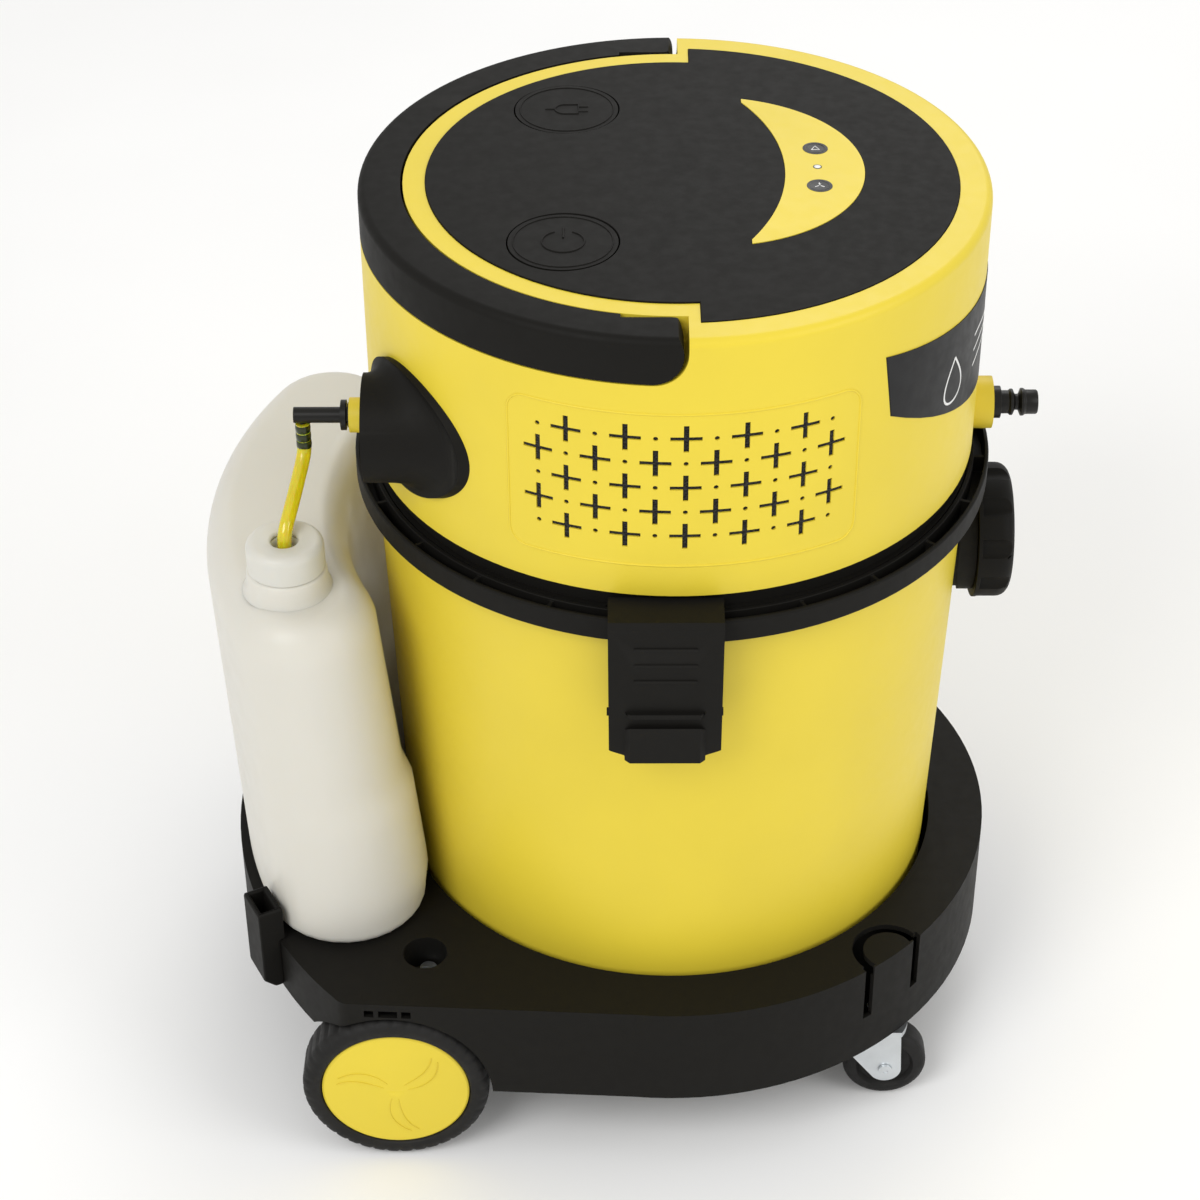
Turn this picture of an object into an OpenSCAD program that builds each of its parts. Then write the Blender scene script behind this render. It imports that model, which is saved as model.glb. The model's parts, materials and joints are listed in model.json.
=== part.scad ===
// Compact spot extractor: a round suction head clamped on a recovery drum, which stands in a
// wheeled base beside a crescent solution tank. The drum's axis is vertical; +X is the front.

/* [Head] */
// Outer radius of the suction head
head_r = 185; // [184:0.5:186]
// Height of the head's rim above the floor
head_top = 608.5; // [606:0.5:609]
// Height of the head's lower edge
head_bottom = 440; // [439:0.5:441]
// Wall thickness of the moulded head shell
shell_wall = 3; // [2.5:0.5:3]
// Rise of the crowned black cover over the rim
crown = 2; // [1:0.5:3]

/* [Drum and rim ring] */
// Outer radius of the drum at its rim
drum_top_r = 184; // [183.5:0.1:184]
// Outer radius of the drum at its foot
drum_foot_r = 172; // [170:1:173]
// Height of the drum's rim
drum_rim = 422; // [421:0.5:422]
// Outer radius of the channel ring under the rim
ring_r = 196; // [195:0.5:196]

/* [Wheeled base] */
// Radius of the base round the drum
base_r = 214; // [213:0.5:215]
// Radius of the base behind the tank
rear_r = 290; // [289:0.5:291]
// Height of the deck's top face
deck_top = 135; // [134:0.5:135]
// Height of the skirt's lower edge
skirt_low = 61.6; // [60:0.2:62]
// Radius of the rear wheels
wheel_r = 60; // [59:0.5:60]
// Width of the rear wheels
wheel_w = 30; // [28:1:31]
// Radius of the front caster wheels
caster_r = 27.5; // [27:0.5:27.5]

/* [Solution tank] */
// Inner radius of the crescent tank at its foot
tank_in_low = 182; // [181:1:183]
// Outer radius of the crescent tank at its foot
tank_out_low = 284; // [283:1:285]
// Inner radius at the shoulder
tank_in_high = 204; // [203:1:205]
// Outer radius at the shoulder
tank_out_high = 293; // [292:1:294]
// Height of the tank's top face
tank_top = 387; // [385:1:388]
// Half angle between the two lobe centres
tank_half = 26; // [25:1:27]

/* [Ports] */
// Outer radius of the exhaust spigot
exhaust_r = 32; // [31:0.5:33]
// Bore radius of the vacuum hose inlet
inlet_bore = 19; // [18:0.5:19]
// Height of the inlet's axis
inlet_z = 355; // [354:1:356]
// Radius of the fluted inlet ring
inlet_ring_r = 43; // [42:0.5:44]

/* [Hidden] */

yellow = "#e8cf46";
black = "#262422";
steel = "#c8ccd0";
milk = "#e8e6dc";
axis_x = 34;          // drum axis from the origin, so that the origin is under the box's middle
big = 120;            // segments on large circles
cut = 0.5;            // how far a cutting tool passes a face
fit = 0.05;           // radial clearance of a running fit

module on_axis() translate([axis_x, 0, 0]) children();
module at_angle(a, r, z = 0) rotate([0, 0, a]) translate([r, 0, z]) children();
module left() mirror([0, 1, 0]) children();
module along_x(x, y, z, len, r, fn = 64)
  translate([x, y, z]) rotate([0, 90, 0]) cylinder(h = len, r = r, $fn = fn);
module along_y(x, y, z, len, r, fn = 64)
  translate([x, y, z]) rotate([-90, 0, 0]) cylinder(h = len, r = r, $fn = fn);
module tube(ro, ri, h, fn = 64)
  difference() {
    cylinder(h = h, r = ro, $fn = fn);
    translate([0, 0, -cut]) cylinder(h = h + 2 * cut, r = ri, $fn = fn);
  }
function polar(r, a) = [r * cos(a), r * sin(a)];
function arc(c, r, a0, a1, n) = [for (i = [0 : n]) c + polar(r, a0 + (a1 - a0) * i / n)];

// ---------------------------------------------------------------- wheeled base
side_x = 202;         // where the base's straight sides end
side_y = 203;         // half width of the base there
corner_r = 12;
well_r = 178;
deck_t = 4;
skirt_t = 3;
floor_z = 66;
floor_t = 4;
rear_low = 94;        // lower edge of the skirt behind the wheels
axle_x = -176.5;
axle_z = wheel_r;
axle_r = 6;
arch_r = wheel_r + 2.5;
arch_y = 169;
bearing_y = 150;
bearing_t = 8;
cup_pos = [-157, 157];
cup_r = 14;
swivel_r = 194;
swivel_a = 47;
plate_front = 90;     // the floor closes the base's underside in front of this
spring_slot = 7;

module base_outline(g = 0) {
  corner_c = [side_x, side_y - corner_r];
  corner_a = atan2(corner_c[1], corner_c[0]);
  circle(r = base_r + g, $fn = big);
  intersection() {
    circle(r = rear_r + g, $fn = big);
    polygon([[0, 0], [-400, -400 * tan(corner_a)], [-400, 400 * tan(corner_a)]]);
  }
  polygon([[0, base_r + g], [-side_x, side_y + g], [-side_x, -side_y - g], [0, -base_r - g]]);
  for (s = [-1, 1])
    translate([-corner_c[0], s * corner_c[1]]) circle(r = corner_r + g, $fn = 48);
}

module spring_tongue_slot() {
  // horseshoe slot round the spring tongue above a caster, with two legs down the skirt
  turn = 48;
  centre_r = 208;
  loop_r = 23;
  leg = 21.5;
  at_angle(-turn, centre_r, deck_top - 8) {
    difference() {
      cylinder(h = 12, r = loop_r, $fn = 64);
      cylinder(h = 12, r = loop_r - spring_slot, $fn = 64);
      translate([4, -30, -cut]) cube([40, 60, 14]);
    }
    for (s = [-1, 1])
      translate([0.5, s * leg - spring_slot / 2, -34]) cube([20, spring_slot, 46]);
  }
}

module dolly_base() color(black) on_axis() {
  difference() {
    union() {
      // deck, skirt, well and floor
      translate([0, 0, deck_top - deck_t]) linear_extrude(deck_t) base_outline();
      translate([0, 0, skirt_low]) linear_extrude(deck_top - skirt_low) difference() {
        base_outline();
        base_outline(-skirt_t);
      }
      translate([0, 0, floor_z]) tube(well_r + 3, well_r, deck_top - floor_z, big);
      translate([0, 0, floor_z]) difference() {
        union() {
          cylinder(h = floor_t, r = well_r + 1, $fn = big);
          intersection() {
            translate([plate_front, -300, 0]) cube([300, 600, floor_t]);
            cylinder(h = floor_t, r = base_r - 1, $fn = big);
          }
        }
        translate([0, 0, -cut]) cylinder(h = 20, r = 60, $fn = big);
      }
      // wheel housings and axle bearings
      intersection() {
        translate([0, 0, skirt_low]) linear_extrude(deck_top - skirt_low) base_outline(-1);
        for (s = [-1, 1]) translate([-236, s * (arch_y - 1.5) - 1.5, skirt_low])
          cube([130, 3, deck_top - skirt_low]);
      }
      for (s = [-1, 1]) {
        translate([axle_x - 14, s * (bearing_y + bearing_t / 2) - bearing_t / 2, axle_z])
          cube([28, bearing_t, deck_top - axle_z - 1]);
        along_y(axle_x, s * (bearing_y + bearing_t / 2) - bearing_t / 2, axle_z, bearing_t, 14);
        // socket cups in the deck
        translate([cup_pos[0], s * cup_pos[1], deck_top - 27]) cylinder(h = 26, r = cup_r + 3);
      }
    }
    translate([0, 0, deck_top - 10]) cylinder(h = 20, r = well_r, $fn = big);
    for (s = [-1, 1]) {
      // wheel arches, and drain slots over them
      along_y(axle_x, s > 0 ? arch_y : -arch_y - 60, axle_z, 60, arch_r, big);
      for (slot = [[-193.5, 6], [-184.5, 12], [-170, 6]])
        translate([slot[0], s * side_y - 6, deck_top - 11]) cube([slot[1], 12, 5.5]);
      // socket cups
      translate([cup_pos[0], s * cup_pos[1], deck_top - 24]) cylinder(h = 30, r = cup_r);
      // axle, kingpins
      along_y(axle_x, s > 0 ? bearing_y - 4 : -arch_y - 1, axle_z, arch_y - bearing_y + 5, axle_r);
      at_angle(s * swivel_a, swivel_r, floor_z - cut) cylinder(h = 20, r = 3.1, $fn = 32);
    }
    // the skirt is cut short behind the wheels
    translate([-300, -300, skirt_low - 1]) cube([95, 600, rear_low - skirt_low + 1]);
    spring_tongue_slot();
    left() spring_tongue_slot();
  }
}

holder_a = 152.3;
holder_low = 97;
holder_h = 65;
module tool_holders() color(black) on_axis() for (s = [-1, 1])
  at_angle(s * holder_a, rear_r, holder_low) difference() {
    translate([-3.5, -13, 0]) cube([16.5, 26, holder_h]);
    translate([0.6, -9.5, 5]) cube([9, 19, holder_h]);
    translate([13, 0, 0]) rotate([0, 45, 0]) cube([10, 40, 10], center = true);
    // seat against the curved rear wall; above the deck the pocket has its own inner wall
    translate([-rear_r, 0, -cut])
      cylinder(h = deck_top - holder_low + cut, r = rear_r, $fn = 4 * big);
  }

// a slotted screw in each socket cup, and the push-on clip at each end of the axle
module base_fasteners() color(steel) on_axis() for (s = [-1, 1]) {
  translate([cup_pos[0] + 1, s * (cup_pos[1] - 7), deck_top - 24]) difference() {
    cylinder(h = 4.5, r = 5.5, $fn = 32);
    translate([-4, -0.6, 3]) cube([8, 1.2, 4]);
  }
  translate([axle_x, s * (wheel_y + 23.4), axle_z]) rotate([90, 0, 0])
    translate([0, 0, -0.8]) tube(11, axle_r, 1.6);
}

// ---------------------------------------------------------------- rear wheels
wheel_y = 176.5;        // inner face of each rear wheel
module rear_axle() color(steel) on_axis()
  along_y(axle_x, -(wheel_y + 26), axle_z, 2 * (wheel_y + 26), axle_r);
module tyre_right() color(black) on_axis() {
  e = 7;
  half = wheel_w / 2;
  translate([axle_x, -wheel_y - half, axle_z]) rotate([90, 0, 0]) rotate_extrude($fn = big)
    polygon(concat([[48, -half + 1], [49, -half]],
      arc([wheel_r - e, -half + e], e, -90, 0, 8), arc([wheel_r - e, half - e], e, 0, 90, 8),
      [[49.5, half], [48, half - 1.5]]));
}
module rim_right() color(black) on_axis()
  translate([axle_x, -wheel_y - 1, axle_z]) rotate([90, 0, 0]) rotate_extrude($fn = big)
    polygon([[axle_r + fit, 0], [14, 0], [14, 9], [42, 9], [42, 2], [48, 2], [48, 25.4],
      [44, 25.4], [44, 14], [14, 14], [14, 20], [axle_r + fit, 20]]);
module hub_cap_right() color(yellow) on_axis()
  translate([axle_x, -wheel_y - 25.2, axle_z]) rotate([90, 0, 0]) rotate_extrude($fn = big)
    polygon([[0, 1.6], [43.6, 1.6], [43.6, -2], [43.9, -2], [43.9, 1.3], [47.2, 1.4], [47.2, 3],
      [46, 3.8], [0, 4.4]]);

// ---------------------------------------------------------------- front casters
caster_z = caster_r;
plate_z = floor_z - 3;
pin_foot = 55.4;      // underside of the kingpin's head
fork_z = 57.3;
trail = 10.5;
caster_w = 22;
cheek_in = 12.2;
cheek_r = 10.5;
caster_turn = [0, 12];     // how each caster happens to stand

module swivel(s) at_angle(s * swivel_a, swivel_r)
  rotate([0, 0, -s * swivel_a + caster_turn[(s + 1) / 2]]) children();
module caster_plates() color(steel) on_axis() for (s = [-1, 1]) at_angle(s * swivel_a, swivel_r) {
  translate([0, 0, plate_z]) cylinder(h = floor_z - plate_z, r = 16.5);
  translate([0, 0, pin_foot]) cylinder(h = floor_z - pin_foot + floor_t + 3, r = 3, $fn = 32);
  translate([0, 0, pin_foot]) cylinder(h = 1.6, r = 6, $fn = 32);
}
module caster_fork(s) color(steel) on_axis() swivel(s) difference() {
  union() {
    translate([0, 0, fork_z]) cylinder(h = 4, r = 17);
    translate([0, 0, fork_z]) intersection() {
      translate([-18, -cheek_in - 2, 0]) cube([43, 2 * cheek_in + 4, 4]);
      cylinder(h = 4, r = 24.5);
    }
    for (c = [-1, 1]) translate([0, c * (cheek_in + 1) - 1, 0]) rotate([90, 0, 0])
      translate([0, 0, -2]) linear_extrude(2) difference() {
        union() {
          polygon([[-18, fork_z + 2], [19.5, fork_z + 2], [trail + cheek_r, caster_z],
            [trail - 8, caster_z - 6.8], [-13, fork_z - 16], [-18, fork_z - 6]]);
          translate([trail, caster_z]) circle(r = cheek_r, $fn = 48);
        }
        translate([trail, caster_z]) circle(r = 3, $fn = 48);
      }
  }
  translate([0, 0, fork_z - cut]) cylinder(h = 10, r = 3 + fit, $fn = 32);
}
module caster_axle(s) color(steel) on_axis() swivel(s) {
  along_y(trail, -cheek_in - 3.5, caster_z, 2 * cheek_in + 7, 3, 48);
  for (c = [-1, 1]) translate([trail, c * (cheek_in + 3.1), caster_z]) rotate([90, 0, 0])
    translate([0, 0, -0.9]) tube(4.6, 1.8, 1.8, 48);
}
module caster_wheel(s) color(black) on_axis() swivel(s)
  translate([trail, caster_w / 2, caster_z]) rotate([90, 0, 0]) rotate_extrude($fn = big)
    polygon(concat([[3 + fit, 0], [8, 0], [8, 3], [17, 3], [19, 0]],
      arc([caster_r - 6, 6], 6, -90, 0, 6), arc([caster_r - 6, caster_w - 6], 6, 0, 90, 6),
      [[19, caster_w], [17, caster_w - 3], [8, caster_w - 3], [8, caster_w],
       [3 + fit, caster_w]]));

// ---------------------------------------------------------------- drum
drum_foot = floor_z + floor_t;
drum_wall = 3;
ring_low = 413.5;
ring_top = 429;
function drum_r(z) = drum_foot_r + (drum_top_r - drum_foot_r) * (z - drum_foot) / (drum_rim - drum_foot);

module drum_solid(shrink = 0, low = drum_foot)
  rotate_extrude($fn = big) polygon([[0, low], [drum_foot_r - 5 - shrink, low],
    [drum_r(low + 5) - shrink, low + 5], [drum_top_r - shrink, drum_rim + shrink],
    [0, drum_rim + shrink]]);
module drum() color(yellow) on_axis() difference() {
  drum_solid();
  drum_solid(drum_wall, drum_foot + drum_wall);
  along_x(150, 0, inlet_z, 60, 24);
}

module rim_ring() color(black) on_axis() {
  n = 24;
  rotate_extrude($fn = big) polygon([[drum_top_r, ring_low], [ring_r - 1, ring_low],
    [ring_r, ring_low + 1], [ring_r, ring_top - 1], [ring_r - 0.8, ring_top],
    [ring_r - 2.6, ring_top], [ring_r - 2.6, ring_low + 3], [drum_top_r + 3, ring_low + 3],
    [drum_top_r + 3, ring_top], [drum_top_r, ring_top]]);
  for (i = [0 : n - 1]) at_angle((i + 0.5) * 360 / n, drum_top_r + 2, ring_low + 2)
    translate([0, -1, 0]) cube([ring_r - drum_top_r - 4, 2, 12]);
}

// ---------------------------------------------------------------- latches
latch_x = -6.4;
latch_w = 66;
pivot_y = 196;
pivot_z = 365;
pin_r = 2.5;
latch_face = 208.5;
face_t = 7.5;
hook_tip = 181.3;

module latch_bases() color(black) on_axis() for (s = [-1, 1]) scale([1, -s, 1])
  translate([latch_x, 0, 0]) {
    difference() {
      translate([-20, -187, 345]) cube([40, 12, 40]);
      translate([-latch_x, 0, 0]) drum_solid();
    }
    for (c = [-1, 1]) difference() {
      union() {
        translate([c * 12 - 2.5, -196, 352]) cube([5, 10, 26]);
        along_x(c * 12 - 2.5, -pivot_y, pivot_z, 5, 4.2);
      }
      along_x(c * 12 - 4, -pivot_y, pivot_z, 8, pin_r);
      translate([-30, -210, 340]) cube([60, 14 - 4.2 + 0.2, 20]);
      translate([-30, -210, 369.5]) cube([60, 14 - 4.2 + 0.2, 20]);
    }
  }
module latch_pins() color(black) on_axis() for (s = [-1, 1])
  along_x(latch_x - latch_w / 2 - 0.8, s * pivot_y, pivot_z, latch_w + 1.6, pin_r);
module latch_right() color(black) on_axis() translate([latch_x, 0, 0]) {
  low = 338;
  high = 436.5;
  half = latch_w / 2;
  taper = 0.4;
  difference() {
    union() {
      intersection() {
        // face plate with the hook that turns in over the ring
        translate([-half, 0, 0]) rotate([90, 0, 90]) linear_extrude(latch_w)
          polygon([[-hook_tip, 430.6], [-hook_tip, high], [-latch_face + 3, high],
            [-latch_face, high - 3], [-latch_face, low + 7], [-latch_face + 2, low],
            [-latch_face + face_t, low], [-latch_face + face_t, 427.5],
            [-latch_face + face_t + 4, 430.6]]);
        translate([0, -100, 0]) rotate([90, 0, 0]) linear_extrude(150)
          polygon([[-half + 12, low], [half - 12, low], [half - 9, low + 3.5],
            [half - taper, low + 8], [half, high], [-half, high], [-half + taper, low + 8],
            [-half + 9, low + 3.5]]);
      }
      // side walls
      for (c = [-1, 1]) translate([c * (half - 3.2) - 1.5, 0, 0]) rotate([90, 0, 90])
        linear_extrude(3) polygon([[-latch_face + 5, 346.5], [-196, 346.5], [-191, 358],
          [-191, 411], [-latch_face + 5, 411]]);
      // finger bulge
      difference() {
        translate([-23.5, -211.6, low + 0.6]) cube([47, 6, 36]);
        translate([-30, -215, low + 30]) rotate([-45, 0, 0]) cube([60, 12, 12]);
        for (c = [-1, 1]) translate([c * 23.5, -212, low - 1]) rotate([0, 0, 45])
          cube([5, 5, 80], center = true);
      }
      // grip ribs
      for (z = [396, 407.5, 419]) translate([-18, -latch_face - 0.7, z]) cube([36, 2, 1.6]);
    }
    along_x(-half - 3, -pivot_y, pivot_z, latch_w + 6, pin_r + fit);
  }
}

// ---------------------------------------------------------------- hose inlet
spigot_r = 23.9;
module inlet_spigot() color(black) on_axis() difference() {
  union() {
    along_x(166, 0, inlet_z, 44, spigot_r);
    difference() {
      along_x(174, 0, inlet_z, 17, 38);
      drum_solid();
      cylinder(h = 600, r = drum_r(inlet_z) + 1.6, $fn = big);
    }
    // baffle that turns the dirty water down
    along_x(162, 0, inlet_z, 5, 28);
  }
  along_x(170, 0, inlet_z, 60, inlet_bore);
  translate([164, -15, inlet_z - 40]) cube([10, 30, 40]);
}
module inlet_gasket() color("#3a3a3a") on_axis() difference() {
  intersection() {
    along_x(174, 0, inlet_z, 12, 36);
    cylinder(h = 600, r = drum_r(inlet_z) + 1.6, $fn = big);
  }
  drum_solid();
  along_x(160, 0, inlet_z, 60, spigot_r);
}
module inlet_ring() color(black) on_axis() difference() {
  r = inlet_ring_r;
  translate([191.5, 0, inlet_z]) rotate([0, 90, 0]) rotate_extrude($fn = big)
    polygon(concat([[spigot_r + fit, 0], [r, 0]], arc([r - 9, 14], 9, 0, 90, 6),
      [[27, 24], [spigot_r + 1.6, 21], [spigot_r + fit, 19]]));
  for (i = [0 : 9]) translate([0, 0, inlet_z]) rotate([i * 36, 0, 0])
    along_x(194, 0, r + 4.5, 30, 8, 32);
}

// ---------------------------------------------------------------- solution tank
tank_foot = deck_top;
tank_wall = 2.2;
neck = [-232, -102];
neck_r = 21.4;
neck_in = 16;
collar_z = 402;

// closed outline of the crescent: outer arc, lobe, inner arc, lobe
function crescent(ri, ro, half) =
  let (rc = (ri + ro) / 2, lobe = (ro - ri) / 2, n = 16, m = 8)
  concat(
    [for (i = [0 : n]) polar(ro, 180 - half + 2 * half * i / n)],
    [for (i = [1 : m - 1]) polar(rc, 180 + half) + polar(lobe, 180 + half + 180 * i / m)],
    [for (i = [0 : n]) polar(ri, 180 + half - 2 * half * i / n)],
    [for (i = [1 : m - 1]) polar(rc, 180 - half) + polar(lobe, -half + 180 * i / m)]);
shoulder_z = 360;
foot_r = 9;
shoulder_in = 20;
function lean(low, high, z) =
  low + (high - low) * min(1, max(0, (z - tank_foot) / (shoulder_z - tank_foot)));
// height and inset of each ring, g inside the outer skin: rounded foot, then the soft shoulder
function foot_ring(a, g) =
  [tank_foot + g + (foot_r - g) * (1 - cos(a)), g + (foot_r - g) * (1 - sin(a))];
function shoulder_ring(a, g) =
  [shoulder_z + (tank_top - g - shoulder_z) * sin(a), shoulder_in - (shoulder_in - g) * cos(a)];
module tank_skin(g) {
  rings = concat([for (a = [0 : 30 : 90]) foot_ring(a, g)],
    [for (a = [0 : 22.5 : 90]) shoulder_ring(a, g)]);
  last = len(rings) - 1;
  outlines = [for (k = [0 : last]) let (z = rings[k][0], d = rings[k][1])
    [for (p = crescent(lean(tank_in_low, tank_in_high, z) + d,
                       lean(tank_out_low, tank_out_high, z) - d, tank_half)) [p[0], p[1], z]]];
  n = len(outlines[0]);
  polyhedron([for (o = outlines) for (p = o) p], concat(
    [[for (i = [0 : n - 1]) i]],
    [[for (i = [0 : n - 1]) (last + 1) * n - 1 - i]],
    [for (k = [0 : last - 1]) for (i = [0 : n - 1]) let (j = (i + 1) % n)
      [k * n + i, (k + 1) * n + i, (k + 1) * n + j, k * n + j]]), convexity = 8);
}
module tank_body() color(milk, 0.85) on_axis() difference() {
  root = 1.5;
  union() {
    difference() {
      tank_skin(0);
      tank_skin(tank_wall);
    }
    // threaded neck and its collar, rooted inside the top wall
    translate([neck[0], neck[1], tank_top - root]) {
      cylinder(h = collar_z + 14 - tank_top + root, r = neck_r - 0.4, $fn = 64);
      cylinder(h = collar_z - tank_top + root - 0.5, r = 24.5, $fn = 64);
    }
  }
  translate([neck[0], neck[1], tank_top - 5]) cylinder(h = 60, r = neck_in, $fn = 64);
}
module cap_seal() color("#dddddd") on_axis()
  translate([neck[0], neck[1], collar_z + 14.3]) tube(neck_r - 0.6, 12.5, 1.5);
module tank_cap() color(milk) on_axis() translate([neck[0], neck[1], 0]) difference() {
  rotate_extrude($fn = big) polygon(concat([[neck_r, collar_z], [23.5, collar_z]],
    arc([23.5 - 5, collar_z + 14], 5, 0, 90, 6), [[10, collar_z + 19], [8.5, collar_z + 18],
    [8, collar_z + 16.1], [neck_r, collar_z + 16.1]]));
  translate([0, 0, collar_z + 10]) cylinder(h = 20, r = 8);
}

// suction tube: from the elbow's barb down through the cap to the filter near the tank's floor
tube_r = 4.4;
tube_bore = 3.2;
barb_pos = [-221, -60];
tube_route = [[-221, -60, 476], [-221, -60, 468], [-221, -60, 460.5], [-221.4, -61.6, 455.6],
  [-222.5, -65.6, 450.8], [-224.1, -71.8, 445.9], [-225.9, -79, 440.6], [-227.7, -86.2, 435.5],
  [-229.3, -92.4, 431.2], [-230.7, -97.5, 427.2], [-231.6, -100.6, 422.8], [-232, -101.9, 417],
  [-232, -102, 410], [-232, -102, 380], [-232.5, -102, 340], [-233, -102, 290],
  [-233, -102, 240], [-232, -102, 200], [-230, -102, 166]];
function unit(v) = v / norm(v);
function heading(p, i) = unit(p[min(i + 1, len(p) - 1)] - p[max(i - 1, 0)]);
function loop_at(c, t, r, n, side) = let (u = unit(cross(t, side)), v = cross(u, t))
  [for (k = [0 : n - 1]) c + r * (cos(360 * k / n) * u + sin(360 * k / n) * v)];
module sweep(route, r, n, side) {
  m = len(route);
  polyhedron([for (i = [0 : m - 1]) for (p = loop_at(route[i], heading(route, i), r, n, side)) p],
    concat([[for (k = [0 : n - 1]) n - 1 - k]], [[for (k = [0 : n - 1]) (m - 1) * n + k]],
      [for (i = [0 : m - 2]) for (k = [0 : n - 1]) let (j = (k + 1) % n)
        [i * n + k, i * n + j, (i + 1) * n + j, (i + 1) * n + k]]), convexity = 6);
}
module suction_tube() color("#e6d21e") on_axis() difference() {
  sweep(tube_route, tube_r, 10, [1, 0, 0]);
  translate([barb_pos[0], barb_pos[1], 457.6]) cylinder(h = 30, r = tube_bore, $fn = 32);
}
module tube_filter() color("#d8d8d8") on_axis() translate([-230, -102, 148])
  rotate_extrude($fn = 64) polygon([[0, 0], [8, 0], [9, 1], [9, 14], [6, 18], [0, 18]]);

// ---------------------------------------------------------------- head shell
edge_r = 5;
cover_front_r = 165.7;
cover_rear_r = 145.5;
step_x = 11.4;
cover_t = 4;
handle_in = 160;
handle_low = 581;
handle_top = 609;
hinge_x = -16;
hinge_z = 599;
hinge_r = 18;
recess_gap = 1.7;     // round the handle's turning end
recess_shift = 1;     // of the recess's round end, forward and up
recess_in = 158.6;
pin_big = 4;
exhaust_y = -102;
exhaust_z = 500;
exhaust_x = -180;
boss_z = 451;
boss_r = 16.2;
boss_x = 196.7;
elbow_y = -60;
elbow_z = 481.5;
elbow_boss_r = 10.5;
vent_a = 88.8;
vent_z = 514;
vent_pitch_a = 5.22;
vent_pitch_z = 16.2;
screw_ring = 166;
screw_angles = [35, -35, 84, -84, 166, -166];

module cover_outline(g = 0) {
  difference() {
    circle(r = cover_front_r + g, $fn = big);
    translate([-300 + step_x - g, -300]) square([300, 600]);
  }
  circle(r = cover_rear_r + g, $fn = big);
}
module crown_solid(off = 0, low = 600)
  rotate_extrude($fn = big) polygon(concat([[0, low], [168, low]],
    [for (i = [8 : -1 : 0]) let (r = 168 * i / 8)
      [r, handle_top + off + crown * (1 - pow(r / 168, 2))]]));

// the space that the folded handle lies in, with room for its turning ends
module handle_recess() difference() {
  union() {
    translate([0, 0, handle_low - 0.8]) linear_extrude(60) difference() {
      circle(r = head_r + 20, $fn = big);
      circle(r = recess_in, $fn = big);
      translate([hinge_x, -300]) square([300, 600]);
    }
    intersection() {
      translate([0, 0, handle_low - 6]) linear_extrude(60) difference() {
        circle(r = head_r + 20, $fn = big);
        circle(r = recess_in, $fn = big);
      }
      union() {
        along_y(hinge_x + recess_shift, -300, hinge_z + recess_shift, 600,
          hinge_r + recess_gap, big);
        translate([hinge_x, -300, hinge_z + recess_shift])
          cube([hinge_r + recess_gap + recess_shift, 600, 40]);
      }
    }
  }
}
module vent_cross(a, z) at_angle(a, head_r, z) {
  cube([16, 3, 17.2], center = true);
  cube([16, 17.6, 2.6], center = true);
}
module vent_cuts() for (s = [-1, 1]) for (row = [-2 : 2]) for (col = [-5 : 5])
  if ((row + col) % 2 == 0)
    vent_cross(s * (vent_a + col * vent_pitch_a), vent_z + row * vent_pitch_z);
  else
    at_angle(s * (vent_a + col * vent_pitch_a), head_r - 8, vent_z + row * vent_pitch_z)
      rotate([0, 90, 0]) cylinder(h = 16, r = 1.5, $fn = 8);
module head_shell() color(yellow) on_axis() difference() {
  inner = head_r - shell_wall;
  union() {
    difference() {
      rotate_extrude($fn = big) polygon(concat([[0, head_bottom], [head_r, head_bottom]],
        arc([head_r - edge_r, head_top - edge_r], edge_r, 0, 90, 8), [[0, head_top]]));
      translate([0, 0, head_bottom - cut]) cylinder(h = head_top - 3.5 - head_bottom + cut,
        r = inner, $fn = big);
    }
    // liner of the handle recess
    translate([0, 0, handle_low - 9]) linear_extrude(head_top - handle_low + 7) difference() {
      circle(r = head_r - 1, $fn = big);
      circle(r = recess_in - 3, $fn = big);
      translate([hinge_x + hinge_r + 6, -300]) square([300, 600]);
    }
    // rim that the cover sits on
    translate([0, 0, head_top - 8]) linear_extrude(7) difference() {
      cover_outline(3);
      cover_outline(-4);
    }
    // bosses for the coupler and the elbow
    along_x(head_r - 2.5, 0, boss_z, boss_x - head_r + 2.5, boss_r);
    along_x(-192.5, elbow_y, elbow_z, 24, elbow_boss_r);
    for (a = screw_angles) at_angle(a, screw_ring, 432) cylinder(h = abs(a) > 90 ? 142 : 174,
      r = 5, $fn = 32);
  }
  handle_recess();
  // seat of the cover and the opening under it
  translate([0, 0, head_top - cover_t]) linear_extrude(20) cover_outline(0.3);
  translate([0, 0, head_top - 20]) linear_extrude(40) cover_outline(-4);
  along_x(150, 0, boss_z, 60, 5);
  along_x(-220, elbow_y, elbow_z, 60, 4);
  along_x(-200, exhaust_y, exhaust_z, 100, exhaust_r);
  vent_cuts();
  for (a = screw_angles) at_angle(a, screw_ring, 431) cylinder(h = 22, r = 2, $fn = 32);
  for (s = [-1, 1]) along_y(hinge_x, s > 0 ? 140 : -recess_in - 1, hinge_z,
    recess_in - 139, pin_big, 48);
}

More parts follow.
